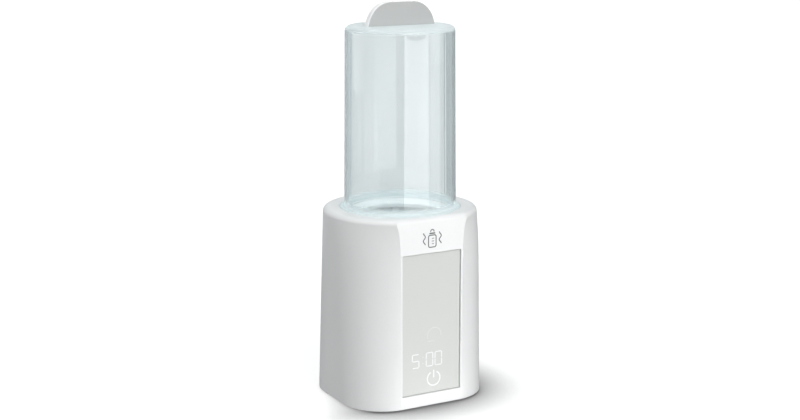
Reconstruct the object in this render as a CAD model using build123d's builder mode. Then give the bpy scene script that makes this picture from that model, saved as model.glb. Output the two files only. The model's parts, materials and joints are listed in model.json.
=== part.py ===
from build123d import *
from math import cos, pi, sin, sqrt
import os

os.makedirs("parts", exist_ok=True)

# Bottle warmer: a white base that is a rounded square at the table and round at its deck, with a
# flat front facet holding a touch display, a heated water well, and a clear cover with a grip fin.
# Millimetres, +Z up, front towards -Y, origin on the well's axis at table level.

# ---------------------------------------------------------------- driving dimensions
# Base housing
rim_height = 1.5               # housing's lower rim above the table
deck_height = 155.0            # top of the base
foot_half_width = 61.0         # rounded square at the rim
foot_back = 60.5               # well axis to the back at the rim
front_corner = 36.0            # corner radii at the rim
back_corner = 43.0
deck_radius = 62.0             # the housing has turned round at the deck
wall = 2.5
deck_thickness = 4.0
deck_edge = 4.0                # rounding between the side and the deck
facet_distance = 51.7          # well axis to the flat facet
facet_thickness = 4.0
facet_half_width = 28.0
facet_flare = 5.5              # extra half width where the facet meets the deck
housing_steps = 12             # outlines that the housing is lofted through
corner_growth = 10.0           # the front corners' radius grows this much before the deck
round_margin = 0.5             # the corners stop this short of a full circle
rounding_power = 12            # how late the corners turn round on the way up
flare_power = 16               # how late the facet flares
post_overlap = 0.5             # how far a post runs into the wall it stands on
display_post_radius = 2.6
deck_post_radius = 4.5
bottom_post_radius = 5.0
bottom_post_height = 18.0
relief_hole = 4.5              # hole in the back wall for the cord's strain relief

# Display
panel_half_width = 26.6        # recess in the facet
panel_low = 11.3
panel_high = 126.4
panel_gap = 0.4
recess_depth = 2.7
lens_thickness = 1.2
tape_thickness = 0.2
window_x = (-21.0, 15.0)       # opening behind the symbols
window_z = (15.0, 66.0)
tape_margin = 1.0              # the tape stops this short of the recess, and of the window
board_thickness = 1.6
display_board_size = (58.0, 64.0)
display_board_centre = 41.0
display_stand_off = 4.0
display_screw_places = [(-25.5, 13.0), (25.5, 13.0), (-25.5, 69.0), (25.5, 69.0)]
key_places = [(2.6, 22.9), (2.9, 58.8)]   # touch keys under the power and warming symbols
touch_spring_height = 4.6
digit_centre = (-3.9, 39.2)
digit_size = (32.0, 16.0)
digit_depth = 5.0
digit_well = (8.0, 12.0)       # light well in front of each digit
digit_spacing = 10.0
touch_spring_radius = 3.2
touch_spring_wire = 0.35

# Water well
seat_radius = 48.9             # shallow recess for the cover's flange
seat_height = 153.5
well_hole = 40.5               # hole through the deck
well_radius = 36.0
well_wall = 2.2
well_floor = 88.5              # ledge that carries the basket
ledge_radius = 31.0
liner_flange = 47.0
upper_flange = 146.0           # top of the liner's upper flange
lower_flange = 86.0            # underside of the liner's lower flange
flange_thickness = 2.5
ear_circle = 52.0
ear_angles = 45.0              # first ear, then every 90 degrees

# Heater stack under the well
gasket_thickness = 1.0
plate_radius = 37.5
plate_thickness = 1.5
clamp_circle = 43.0
clamp_thickness = 2.0
block_radius = 30.0
block_thickness = 10.0
element_circle = 22.0
element_radius = 3.0

probe_place = (0.0, 13.0)
probe_radius = 2.0
thermostat_screw_places = [(-12.0, 0.0), (12.0, 0.0)]
terminal_places = [(-12.6, 18.0), (12.6, 18.0)]   # the element's two ends
terminal_low = 63.0
fuse_y = -13.5
fuse_height = 71.4
fuse_length = 11.0
fuse_radius = 2.0
fuse_tail = 2.5                # bare lead at each end
clip_sheet = 0.65
clip_width = 5.0
clip_span = 10.0

# Cover
cover_foot_radius = 45.1
cover_top_radius = 43.7
cover_top = 300.0
cover_wall = 2.5
cover_shoulder = 4.0
seat_play = 0.06
flange_radius = 48.5
flange_height = 155.9
grip_radius = 31.0             # the fin is a disc cut flat at the top
grip_centre = 294.2
grip_top = 319.0
grip_corner = 20.0
grip_thickness = 6.5
grip_rounding = 1.3
grip_screw_x = 16.0
grip_hole_depth = 10.0
washer_radius = 4.0
washer_thickness = 0.6

# Basket
basket_radius = 35.6
basket_inner = 31.5
basket_low = 88.7
basket_high = 151.0
basket_ribs = 8

# Bottom cover, foot and fasteners
plate_low = 2.0
plate_high = 4.5
edge_gap = 0.3
foot_ring_inner = 40.0
foot_ring_outer = 46.0
foot_groove = 0.5
board_post_radius = 3.0
bottom_screw_places = [(-54.5, -14.0), (54.5, -14.0), (-52.5, 30.0), (52.5, 30.0)]
m3_radius = 1.5
m2_radius = 1.0
m3_head = (2.8, 1.9)           # radius and height
m2_head = (1.9, 1.4)
screw_play = 0.05
m3_clearance = 0.2

sunk_radius = 3.0              # countersink at the plate's face
bottom_screw_tip = 15.2
tip_play = 0.5                 # room left beyond a screw's tip
display_screw_depth = 4.0
well_screw_depth = 6.0
board_screw_depth = 7.0
clamp_screw_depth = 5.5
heater_screw_length = 11.0
clamp_post_radius = 3.6
clamp_post_height = 7.5
block_hole_depth = 6.5
block_chamfer = 0.8
grip_screw_length = 12.0

# Main board
board_height = 20.0
board_size = (80.0, 60.0)
board_centre_y = 6.0
board_holes = [(-36.0, -20.0), (36.0, -20.0), (-36.0, 32.0), (36.0, 32.0)]

terminal_block_place = (-4.0, 30.5)
terminal_block_height = 13.0
terminal_block_size = (24.0, 9.0)
socket_size = (22.0, 5.0)
socket_height = 5.0
ribbon_section = (20.0, 0.9)
wire_entries = [(-10.0, 27.5), (2.0, 27.5)]
lead_radius = 1.0
ribbon_height = 16.0
ribbon_bend_y = -29.0
ribbon_top = 33.0
ribbon_y = -18.0

# Cord clamp on the bottom cover
clamp_y = 49.0
clamp_size = (26.0, 7.0)
clamp_seat = 12.0
clamp_top = 18.5
clamp_screw_places = [(-9.0, clamp_y), (9.0, clamp_y)]

# Mains cord, coiled flat on the table behind the base
cord_radius = 3.0
cord_play = 0.05
cord_height = 13.0             # where it leaves the base
cord_start = 42.0
cord_floor = 3.1
coil_centre = (70.0, 130.0)
coil_radius = 46.0
coil_step = 3.4                # the radius shrinks this much every half turn
coil_half_turns = 7
turn_radius = 12.8             # last bend up to the plug
plug_height = 12.7
plug_size = (26.0, 32.0, 13.0)
plug_start = 138.0             # the plug's cord end
boot_end = 76.0                # end of the strain relief's boot
pin_radius = 2.0
pin_spacing = 18.6
pin_length = 19.0
pin_root_radius = 1.6
pin_root_length = 6.0

# Planes used again and again
facet_plane = Plane(origin=(0, -facet_distance, 0), x_dir=(1, 0, 0), z_dir=(0, -1, 0))
inner_facet = facet_distance - facet_thickness
recess_floor = facet_distance - recess_depth
board_front = inner_facet - display_stand_off
board_back = board_front - board_thickness


# ---------------------------------------------------------------- helpers
def plane_facing_front(distance):
    """Plane parallel to the facet, this far in front of the well's axis, local x right and y up."""
    return Plane(origin=(0, -distance, 0), x_dir=(1, 0, 0), z_dir=(0, -1, 0))


def housing_section(height, inset):
    """Outline of the housing at a height: a rounded rectangle that turns into a circle upwards."""
    rise = (height - rim_height) / (deck_height - rim_height)
    half_width = foot_half_width + (deck_radius - foot_half_width) * rise
    back = foot_back + (deck_radius - foot_back) * rise
    full_radius = deck_radius - round_margin
    rear_radius = back_corner + (full_radius - back_corner) * rise
    last_growth = full_radius - front_corner - corner_growth
    radius = front_corner + corner_growth * rise + last_growth * rise**rounding_power
    # the front bulges just enough for the facet plane to cut it at the wanted half width
    half_chord = facet_half_width + facet_flare * rise**flare_power
    reach = half_chord - half_width + radius
    front = facet_distance + radius - sqrt(radius**2 - reach**2)
    with BuildSketch(Plane.XY.offset(height)) as section:
        with Locations((0, (back - front) / 2)):
            Rectangle(2 * (half_width - inset), back + front - 2 * inset)
        fillet(section.vertices().group_by(Axis.Y)[0], radius - inset)
        fillet(section.vertices().group_by(Axis.Y)[-1], rear_radius - inset)
    return section.sketch


def housing_form(inset, low, high, front):
    """Solid inside the housing's outline, set in by a wall, between two heights, cut by the facet."""
    with BuildPart() as form:
        for step in range(housing_steps):
            add(housing_section(low + (high - low) * step / (housing_steps - 1), inset))
        loft()
        split(bisect_by=Plane(origin=(0, -front, 0), z_dir=(0, 1, 0)), keep=Keep.TOP)
    return form.part


def turned(*points):
    """Solid of revolution about Z from an outline of (radius, height) points."""
    with BuildPart() as body:
        with BuildSketch(Plane.XZ):
            with BuildLine():
                Polyline(*points, close=True)
            make_face()
        revolve(axis=Axis.Z)
    return body.part


def ring(inner, outer, low, high):
    """Flat ring about the well's axis."""
    return turned((inner, low), (outer, low), (outer, high), (inner, high))


def wire(radius, *points, tangents):
    """Round wire along a smooth curve through the points."""
    with BuildPart() as body:
        with BuildLine() as route:
            Spline(*points, tangents=tangents)
        with BuildSketch(Plane(origin=points[0], z_dir=tangents[0])):
            Circle(radius)
        sweep(path=route.wire())
    return body.part


def screw(radius, head, length):
    """Pan-head screw with its shank along +Z from the head's seat at z = 0."""
    head_radius, head_height = head
    with BuildPart() as body:
        with BuildSketch():
            Circle(radius)
        extrude(amount=length)
        chamfer(body.edges().group_by(Axis.Z)[-1], radius * 0.4)
        with BuildSketch():
            Circle(head_radius)
        extrude(amount=-head_height)
        fillet(body.edges().group_by(Axis.Z)[0], head_height * 0.45)
        with BuildSketch(Plane.XY.offset(-head_height)):
            Rectangle(head_radius * 1.2, head_radius * 0.28)
            Rectangle(head_radius * 0.28, head_radius * 1.2)
        extrude(amount=head_height * 0.55, mode=Mode.SUBTRACT)
    return body.part


# ---------------------------------------------------------------- base housing
with BuildPart() as base_shell:
    add(housing_form(0, rim_height, deck_height, facet_distance))
    fillet(base_shell.edges().group_by(Axis.Z)[-1], deck_edge)
    add(housing_form(wall, rim_height, deck_height - deck_thickness, inner_facet), mode=Mode.SUBTRACT)
    # seat for the cover's flange and the hole for the well
    with BuildSketch(Plane.XY.offset(seat_height)):
        Circle(seat_radius)
    extrude(amount=deck_height - seat_height, mode=Mode.SUBTRACT)
    with BuildSketch(Plane.XY.offset(deck_height - deck_thickness)):
        Circle(well_hole)
    extrude(amount=deck_thickness, mode=Mode.SUBTRACT)
    # recess for the display panel, and the window behind its symbols
    with BuildSketch(facet_plane):
        with Locations((0, (panel_low + panel_high) / 2)):
            RectangleRounded(2 * panel_half_width, panel_high - panel_low, 1.0)
    extrude(amount=-recess_depth, mode=Mode.SUBTRACT)
    with BuildSketch(facet_plane):
        with Locations((sum(window_x) / 2, sum(window_z) / 2)):
            RectangleRounded(window_x[1] - window_x[0], window_z[1] - window_z[0], 2)
    extrude(amount=-facet_thickness, mode=Mode.SUBTRACT)
    # posts for the display board
    with BuildSketch(plane_facing_front(inner_facet + post_overlap)):
        with Locations(display_screw_places):
            Circle(display_post_radius)
    extrude(amount=-post_overlap - display_stand_off)
    with BuildSketch(plane_facing_front(board_front)):
        with Locations(display_screw_places):
            Circle(m2_radius + screw_play)
    extrude(amount=display_screw_depth + tip_play, mode=Mode.SUBTRACT)
    # posts under the deck for the well liner's ears
    with BuildSketch(Plane.XY.offset(upper_flange)):
        with PolarLocations(ear_circle, 4, start_angle=ear_angles):
            Circle(deck_post_radius)
    extrude(amount=deck_height - deck_thickness + post_overlap - upper_flange)
    with BuildSketch(Plane.XY.offset(upper_flange)):
        with PolarLocations(ear_circle, 4, start_angle=ear_angles):
            Circle(m3_radius + screw_play)
    extrude(amount=well_screw_depth + tip_play, mode=Mode.SUBTRACT)
    # posts on the walls for the bottom screws
    with BuildSketch(Plane.XY.offset(plate_high)):
        with Locations(bottom_screw_places):
            Circle(bottom_post_radius)
    extrude(amount=bottom_post_height)
    with BuildSketch(Plane.XY.offset(plate_high)):
        with Locations(bottom_screw_places):
            Circle(m3_radius + screw_play)
    extrude(amount=bottom_screw_tip - plate_high + tip_play, mode=Mode.SUBTRACT)
    # hole for the cord's strain relief
    with BuildSketch(Plane.XZ.offset(-foot_back - wall)):
        with Locations((0, cord_height)):
            Circle(relief_hole)
    extrude(amount=3 * wall, mode=Mode.SUBTRACT)
base_shell.part.label = "base_shell"
export_step(base_shell.part, "parts/base_shell.step")

# ---------------------------------------------------------------- bottom cover, foot, fasteners
with BuildPart() as bottom_cover:
    add(housing_section(plate_low, wall + edge_gap))
    extrude(amount=plate_high - plate_low)
    split(bisect_by=Plane(origin=(0, edge_gap - inner_facet, 0), z_dir=(0, 1, 0)), keep=Keep.TOP)
    add(ring(foot_ring_inner, foot_ring_outer, plate_low, plate_low + foot_groove), mode=Mode.SUBTRACT)
    # posts for the main board, and a cradle for the cord
    with BuildSketch(Plane.XY.offset(plate_high)):
        with Locations(board_holes):
            Circle(board_post_radius)
    extrude(amount=board_height - plate_high)
    with BuildSketch(Plane.XY.offset(plate_high)):
        with Locations((0, clamp_y)):
            Rectangle(*clamp_size)
    extrude(amount=clamp_seat - plate_high)
    with BuildSketch(Plane.XZ.offset(-clamp_y)):
        with Locations((0, cord_height)):
            Circle(cord_radius + cord_play)
    extrude(amount=clamp_size[1], both=True, mode=Mode.SUBTRACT)
    with BuildSketch(Plane.XY.offset(board_height)):
        with Locations(board_holes):
            Circle(m2_radius + screw_play)
    extrude(amount=-board_screw_depth - tip_play, mode=Mode.SUBTRACT)
    with BuildSketch(Plane.XY.offset(clamp_seat)):
        with Locations(clamp_screw_places):
            Circle(m2_radius + screw_play)
    extrude(amount=-clamp_screw_depth - tip_play, mode=Mode.SUBTRACT)
    # countersunk holes for the bottom screws
    with Locations(Plane(origin=(0, 0, plate_low), x_dir=(1, 0, 0), z_dir=(0, 0, -1))):
        with Locations([(x, -y) for x, y in bottom_screw_places]):
            CounterSinkHole(m3_radius + m3_clearance, sunk_radius, counter_sink_angle=90)
bottom_cover.part.label = "bottom_cover"
export_step(bottom_cover.part, "parts/bottom_cover.step")

with BuildPart() as foot_ring:
    add(ring(foot_ring_inner, foot_ring_outer, 0, plate_low + foot_groove))
    fillet(foot_ring.edges().group_by(Axis.Z)[0], 0.5)
foot_ring.part.label = "foot_ring"
export_step(foot_ring.part, "parts/foot_ring.step")

sunk_face = plate_low + 0.1    # the countersunk heads sit just below the plate's face
with BuildPart() as bottom_screws:
    with Locations(bottom_screw_places):
        add(turned((0, sunk_face), (sunk_radius - 0.3, sunk_face),
                   (m3_radius, sunk_face + sunk_radius - 0.3 - m3_radius),
                   (m3_radius, bottom_screw_tip - 0.7), (1, bottom_screw_tip), (0, bottom_screw_tip)))
bottom_screws.part.label = "bottom_screws"
export_step(bottom_screws.part, "parts/bottom_screws.step")

# ---------------------------------------------------------------- display
with BuildPart() as display_panel:
    with BuildSketch(plane_facing_front(recess_floor + tape_thickness)):
        with Locations((0, (panel_low + panel_high) / 2)):
            RectangleRounded(2 * (panel_half_width - panel_gap), panel_high - panel_low - 2 * panel_gap, 0.8)
    extrude(amount=lens_thickness)
    fillet(display_panel.edges().group_by(Axis.Y)[0], 0.3)
display_panel.part.label = "display_panel"
export_step(display_panel.part, "parts/display_panel.step")

with BuildPart() as panel_tape:
    with BuildSketch(plane_facing_front(recess_floor)):
        with Locations((0, (panel_low + panel_high) / 2)):
            RectangleRounded(2 * (panel_half_width - tape_margin), panel_high - panel_low - 2 * tape_margin,
                             0.8)
        with Locations((sum(window_x) / 2, sum(window_z) / 2)):
            Rectangle(window_x[1] - window_x[0] + tape_margin, window_z[1] - window_z[0] + tape_margin,
                      mode=Mode.SUBTRACT)
    extrude(amount=tape_thickness)
panel_tape.part.label = "panel_tape"
export_step(panel_tape.part, "parts/panel_tape.step")

with BuildPart() as display_board:
    with BuildSketch(plane_facing_front(board_front)):
        with Locations((0, display_board_centre)):
            RectangleRounded(*display_board_size, 2)
        with Locations(display_screw_places):
            Circle(m2_radius + m3_clearance, mode=Mode.SUBTRACT)
    extrude(amount=-board_thickness)
display_board.part.label = "display_board"
export_step(display_board.part, "parts/display_board.step")

with BuildPart() as display_board_screws:
    with Locations(plane_facing_front(board_back)):
        with Locations(display_screw_places):
            add(screw(m2_radius, m2_head, board_thickness + display_screw_depth))
display_board_screws.part.label = "display_board_screws"
export_step(display_board_screws.part, "parts/display_board_screws.step")

with BuildPart() as digit_module:
    with BuildSketch(plane_facing_front(board_front)):
        with Locations(digit_centre):
            Rectangle(*digit_size)
    extrude(amount=digit_depth)
    chamfer(digit_module.edges().group_by(Axis.Y)[0], 0.4)
    # one light well behind each digit
    with BuildSketch(plane_facing_front(board_front + digit_depth)):
        with Locations(digit_centre):
            with GridLocations(digit_spacing, 1, 3, 1):
                Rectangle(*digit_well)
    extrude(amount=-1.5, mode=Mode.SUBTRACT)
digit_module.part.label = "digit_module"
export_step(digit_module.part, "parts/digit_module.step")

with BuildPart() as touch_spring:
    with BuildLine():
        coil = Helix(pitch=1.1, height=touch_spring_height, radius=touch_spring_radius)
    with BuildSketch(Plane(origin=coil @ 0, z_dir=coil % 0)):
        Circle(touch_spring_wire)
    sweep(path=coil)

with BuildPart() as touch_springs:
    with Locations(plane_facing_front(board_front + touch_spring_wire + screw_play)):
        with Locations(key_places):
            add(touch_spring.part)
touch_springs.part.label = "touch_springs"
export_step(touch_springs.part, "parts/touch_springs.step")

# ---------------------------------------------------------------- water well
with BuildPart() as well_liner:
    add(turned((well_radius, well_floor), (ledge_radius, well_floor), (ledge_radius, lower_flange),
               (liner_flange, lower_flange), (liner_flange, well_floor),
               (well_radius + well_wall, well_floor),
               (well_radius + well_wall, upper_flange - flange_thickness),
               (liner_flange, upper_flange - flange_thickness), (liner_flange, upper_flange),
               (well_hole - 0.3, upper_flange), (well_hole - 0.3, seat_height - 0.6),
               (well_radius + 1, basket_high), (well_radius, basket_high - 1)))
    # ears for the screws into the deck
    with BuildSketch(Plane.XY.offset(upper_flange)):
        with PolarLocations(ear_circle - 4, 4, start_angle=ear_angles):
            SlotCenterToCenter(8, 9)
    extrude(amount=-flange_thickness)
    with BuildSketch(Plane.XY.offset(upper_flange)):
        with PolarLocations(ear_circle, 4, start_angle=ear_angles):
            Circle(m3_radius + m3_clearance)
    extrude(amount=-flange_thickness, mode=Mode.SUBTRACT)
    # posts for the heater clamp's screws
    with BuildSketch(Plane.XY.offset(well_floor)):
        with PolarLocations(clamp_circle, 4, start_angle=ear_angles):
            Circle(clamp_post_radius)
    extrude(amount=clamp_post_height)
    with BuildSketch(Plane.XY.offset(lower_flange)):
        with PolarLocations(clamp_circle, 4, start_angle=ear_angles):
            Circle(m3_radius + screw_play)
    extrude(amount=well_floor + clamp_post_height - lower_flange - 2, mode=Mode.SUBTRACT)
well_liner.part.label = "well_liner"
export_step(well_liner.part, "parts/well_liner.step")

with BuildPart() as well_screws:
    with Locations(Plane.XY.offset(upper_flange - flange_thickness)):
        with PolarLocations(ear_circle, 4, start_angle=ear_angles):
            add(screw(m3_radius, m3_head, flange_thickness + well_screw_depth))
well_screws.part.label = "well_screws"
export_step(well_screws.part, "parts/well_screws.step")

with BuildPart() as well_seal:
    add(ring(well_hole + 0.1, well_hole + 4, upper_flange, deck_height - deck_thickness))
well_seal.part.label = "well_seal"
export_step(well_seal.part, "parts/well_seal.step")

# ---------------------------------------------------------------- heater stack
plate_top = lower_flange - gasket_thickness
clamp_ring_top = plate_top - plate_thickness
block_low = clamp_ring_top - block_thickness

with BuildPart() as plate_gasket:
    add(ring(ledge_radius + 0.2, plate_radius, plate_top, lower_flange))
plate_gasket.part.label = "plate_gasket"
export_step(plate_gasket.part, "parts/plate_gasket.step")

with BuildPart() as heating_plate:
    with BuildSketch(Plane.XY.offset(clamp_ring_top)):
        Circle(plate_radius)
    extrude(amount=plate_thickness)
    # shallow rings pressed into the well's steel floor
    for groove in (10, 18, 26):
        add(ring(groove - 0.6, groove + 0.6, plate_top - 0.3, plate_top), mode=Mode.SUBTRACT)
heating_plate.part.label = "heating_plate"
export_step(heating_plate.part, "parts/heating_plate.step")

with BuildPart() as heater_clamp:
    add(ring(block_radius + 3.5, liner_flange - 0.5, clamp_ring_top - clamp_thickness, clamp_ring_top))
    with Locations(Plane.XY.offset(clamp_ring_top)):
        with PolarLocations(clamp_circle, 4, start_angle=ear_angles):
            Hole(m3_radius + m3_clearance, clamp_thickness)
heater_clamp.part.label = "heater_clamp"
export_step(heater_clamp.part, "parts/heater_clamp.step")

with BuildPart() as heater_screws:
    with Locations(Plane.XY.offset(clamp_ring_top - clamp_thickness)):
        with PolarLocations(clamp_circle, 4, start_angle=ear_angles):
            add(screw(m3_radius, m3_head, heater_screw_length))
heater_screws.part.label = "heater_screws"
export_step(heater_screws.part, "parts/heater_screws.step")


def element_arc(radius, degrees):
    """Round bar bent about the well's axis at the block's underside, its gap towards the back."""
    with BuildPart() as bar:
        with BuildSketch(Plane.XZ):
            with Locations((element_circle, block_low)):
                Circle(radius)
        revolve(axis=Axis.Z, revolution_arc=degrees)
    return Rot(0, 0, 90 + (360 - degrees) / 2) * bar.part


with BuildPart() as heater_block:
    with BuildSketch(Plane.XY.offset(block_low)):
        Circle(block_radius)
    extrude(amount=block_thickness)
    chamfer(heater_block.edges().group_by(Axis.Z)[0], block_chamfer)
    add(element_arc(element_radius + 0.05, 306), mode=Mode.SUBTRACT)
    # holes for the temperature probe and the thermostat's screws
    with BuildSketch(Plane.XY.offset(block_low)):
        with Locations(probe_place):
            Circle(probe_radius + 0.05)
        with Locations(thermostat_screw_places):
            Circle(m2_radius + screw_play)
    extrude(amount=block_hole_depth, mode=Mode.SUBTRACT)
heater_block.part.label = "heater_block"
export_step(heater_block.part, "parts/heater_block.step")

with BuildPart() as heating_element:
    add(element_arc(element_radius, 300))
    # the two ends turn down into terminal pins
    with BuildSketch(Plane.XY.offset(terminal_low)):
        with Locations(terminal_places):
            Circle(1.6)
    extrude(amount=block_low - terminal_low)
heating_element.part.label = "heating_element"
export_step(heating_element.part, "parts/heating_element.step")

cap_radius, case_radius, case_low = 8.0, 7.0, block_low - 7.5
with BuildPart() as thermostat:
    add(turned((0, block_low), (cap_radius, block_low), (cap_radius, block_low - 2),
               (case_radius, block_low - 2), (case_radius, case_low), (0, case_low)))
    # mounting bracket, and two tab terminals
    with BuildSketch(Plane.XY.offset(block_low)):
        SlotOverall(30, 8)
        with Locations(thermostat_screw_places):
            Circle(m2_radius + m3_clearance, mode=Mode.SUBTRACT)
    extrude(amount=-1)
    with BuildSketch(Plane.XY.offset(case_low)):
        with GridLocations(case_radius, 1, 2, 1):
            Rectangle(0.8, 6.3)
    extrude(amount=-7)
thermostat.part.label = "thermostat"
export_step(thermostat.part, "parts/thermostat.step")

with BuildPart() as thermostat_screws:
    with Locations(Plane.XY.offset(block_low - 1)):
        with Locations(thermostat_screw_places):
            add(screw(m2_radius, m2_head, block_hole_depth))
thermostat_screws.part.label = "thermostat_screws"
export_step(thermostat_screws.part, "parts/thermostat_screws.step")

with BuildPart() as thermal_fuse:
    with BuildSketch(Plane.YZ.offset(-fuse_length / 2)):
        with Locations((fuse_y, fuse_height)):
            Circle(fuse_radius)
    extrude(amount=fuse_length)
    chamfer(thermal_fuse.edges(), 0.3)
    with BuildSketch(Plane.YZ.offset(-fuse_length / 2 - fuse_tail)):
        with Locations((fuse_y, fuse_height)):
            Circle(0.5)
    extrude(amount=fuse_length + 2 * fuse_tail)
thermal_fuse.part.label = "thermal_fuse"
export_step(thermal_fuse.part, "parts/thermal_fuse.step")

with BuildPart() as fuse_clip:
    clip_inner = fuse_radius + 0.05
    clip_outer = clip_inner + clip_sheet
    with BuildSketch(Plane.YZ.offset(-clip_width / 2)):
        # a strap round the fuse, on two flanges against the block
        with Locations((fuse_y, fuse_height)):
            Circle(clip_outer)
        with Locations((fuse_y, block_low - 1)):
            Rectangle(2 * clip_outer, 2)
        with Locations((fuse_y, block_low - clip_sheet / 2)):
            Rectangle(clip_span, clip_sheet)
        with Locations((fuse_y, fuse_height)):
            Circle(clip_inner, mode=Mode.SUBTRACT)
        with Locations((fuse_y, block_low - 0.5)):
            Rectangle(2 * clip_inner, 3, mode=Mode.SUBTRACT)
        with Locations((fuse_y, block_low + 1)):
            Rectangle(clip_span, 2, mode=Mode.SUBTRACT)
    extrude(amount=clip_width)
fuse_clip.part.label = "fuse_clip"
export_step(fuse_clip.part, "parts/fuse_clip.step")

with BuildPart() as temperature_probe:
    with Locations(probe_place):
        add(turned((0, block_low + 6), (probe_radius, block_low + 6), (probe_radius, block_low),
                   (3.2, block_low), (3.2, block_low - 3), (probe_radius, block_low - 3),
                   (probe_radius, terminal_low), (0, terminal_low)))
temperature_probe.part.label = "temperature_probe"
export_step(temperature_probe.part, "parts/temperature_probe.step")

# ---------------------------------------------------------------- main board
board_top = board_height + board_thickness
with BuildPart() as main_board:
    with BuildSketch(Plane.XY.offset(board_height)):
        with Locations((0, board_centre_y)):
            RectangleRounded(*board_size, 2)
        with Locations(board_holes):
            Circle(m2_radius + m3_clearance, mode=Mode.SUBTRACT)
    extrude(amount=board_thickness)
main_board.part.label = "main_board"
export_step(main_board.part, "parts/main_board.step")

with BuildPart() as main_board_screws:
    with Locations(Plane(origin=(0, 0, board_top), x_dir=(1, 0, 0), z_dir=(0, 0, -1))):
        with Locations([(x, -y) for x, y in board_holes]):
            add(screw(m2_radius, m2_head, board_thickness + board_screw_depth))
main_board_screws.part.label = "main_board_screws"
export_step(main_board_screws.part, "parts/main_board_screws.step")


def board_block(x, y, width, depth, height):
    """Boxed component standing on the main board."""
    with BuildPart() as block:
        with BuildSketch(Plane.XY.offset(board_top)):
            with Locations((x, y)):
                Rectangle(width, depth)
        extrude(amount=height)
        fillet(block.edges().filter_by(Axis.Z), 0.6)
        fillet(block.edges().group_by(Axis.Z)[-1], 0.6)
    return block.part


with BuildPart() as relay:
    add(board_block(-24, 12, width=19, depth=15.5, height=15.3))
relay.part.label = "relay"
export_step(relay.part, "parts/relay.step")

with BuildPart() as transformer:
    add(board_block(20, 8, width=24, depth=26, height=9))
    add(board_block(20, 8, width=30, depth=18, height=22))
transformer.part.label = "transformer"
export_step(transformer.part, "parts/transformer.step")

with BuildPart() as film_capacitor:
    add(board_block(-24, -10, width=18, depth=8, height=14))
film_capacitor.part.label = "film_capacitor"
export_step(film_capacitor.part, "parts/film_capacitor.step")

with BuildPart() as smoothing_capacitor:
    # a can with the crimp ring near its foot
    can = 5.0
    neck = can - 0.3
    can_top = board_top + 16.6
    with Locations((28, -14)):
        add(turned((0, board_top), (neck, board_top), (can, board_top + 0.5), (can, board_top + 2),
                   (neck, board_top + 2.6), (can, board_top + 3.2), (can, can_top - 0.6),
                   (can - 0.6, can_top), (0, can_top)))
smoothing_capacitor.part.label = "smoothing_capacitor"
export_step(smoothing_capacitor.part, "parts/smoothing_capacitor.step")

entry_y = terminal_block_place[1] + terminal_block_size[1] / 2
with BuildPart() as terminal_block:
    with BuildSketch(Plane.XY.offset(board_top)):
        with Locations(terminal_block_place):
            Rectangle(*terminal_block_size)
    extrude(amount=terminal_block_height)
    # wire entries in the rear face, screw wells in the top
    with BuildSketch(Plane.XZ.offset(-entry_y)):
        with Locations(wire_entries):
            Circle(lead_radius + 0.2)
    extrude(amount=3, mode=Mode.SUBTRACT)
    with BuildSketch(Plane.XY.offset(board_top + terminal_block_height)):
        with Locations(terminal_block_place):
            with GridLocations(6, 1, 4, 1):
                Circle(1.6)
    extrude(amount=-3, mode=Mode.SUBTRACT)
terminal_block.part.label = "terminal_block"
export_step(terminal_block.part, "parts/terminal_block.step")

with BuildPart() as ribbon_sockets:
    with BuildSketch(plane_facing_front(board_back)):
        with Locations((0, ribbon_height)):
            Rectangle(*socket_size)
    extrude(amount=-socket_height)
    with BuildSketch(Plane.XY.offset(board_top)):
        with Locations((0, ribbon_y)):
            Rectangle(*socket_size)
    extrude(amount=socket_height)
ribbon_sockets.part.label = "ribbon_sockets"
export_step(ribbon_sockets.part, "parts/ribbon_sockets.step")

ribbon_front = socket_height - board_back
with BuildPart() as ribbon_cable:
    with BuildLine(Plane.YZ) as ribbon_route:
        FilletPolyline((ribbon_front, ribbon_height), (ribbon_bend_y, ribbon_height),
                       (ribbon_bend_y, ribbon_top), (ribbon_y, ribbon_top),
                       (ribbon_y, board_top + socket_height), radius=3)
    with BuildSketch(Plane(origin=(0, ribbon_front, ribbon_height), x_dir=(1, 0, 0), z_dir=(0, 1, 0))):
        Rectangle(*ribbon_section)
    sweep()
ribbon_cable.part.label = "ribbon_cable"
export_step(ribbon_cable.part, "parts/ribbon_cable.step")

# ---------------------------------------------------------------- wiring
screw_well_z = board_top + terminal_block_height
with BuildPart() as mains_leads:
    for x, entry in ((-1.4, wire_entries[0]), (1.4, wire_entries[1])):
        add(wire(lead_radius, (x, cord_start, cord_height), (entry[0], 39.5, 20),
                 (entry[0], entry_y - 2, entry[1]), tangents=((0, -1, 0), (0, -1, 0))))
mains_leads.part.label = "mains_leads"
export_step(mains_leads.part, "parts/mains_leads.step")

with BuildPart() as heater_leads:
    for (x, y), well_x in zip(terminal_places, (3, 9)):
        add(wire(lead_radius, (x, y, terminal_low),
                 (terminal_block_place[0] + well_x, terminal_block_place[1], screw_well_z - 2),
                 tangents=((0, 0, -1), (0, 0, -1))))
heater_leads.part.label = "heater_leads"
export_step(heater_leads.part, "parts/heater_leads.step")

with BuildPart() as probe_lead:
    add(wire(0.8, (probe_place[0], probe_place[1], terminal_low), (-5, 2, board_top),
             tangents=((0, 0, -1), (0, 0, -1))))
probe_lead.part.label = "probe_lead"
export_step(probe_lead.part, "parts/probe_lead.step")

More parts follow.
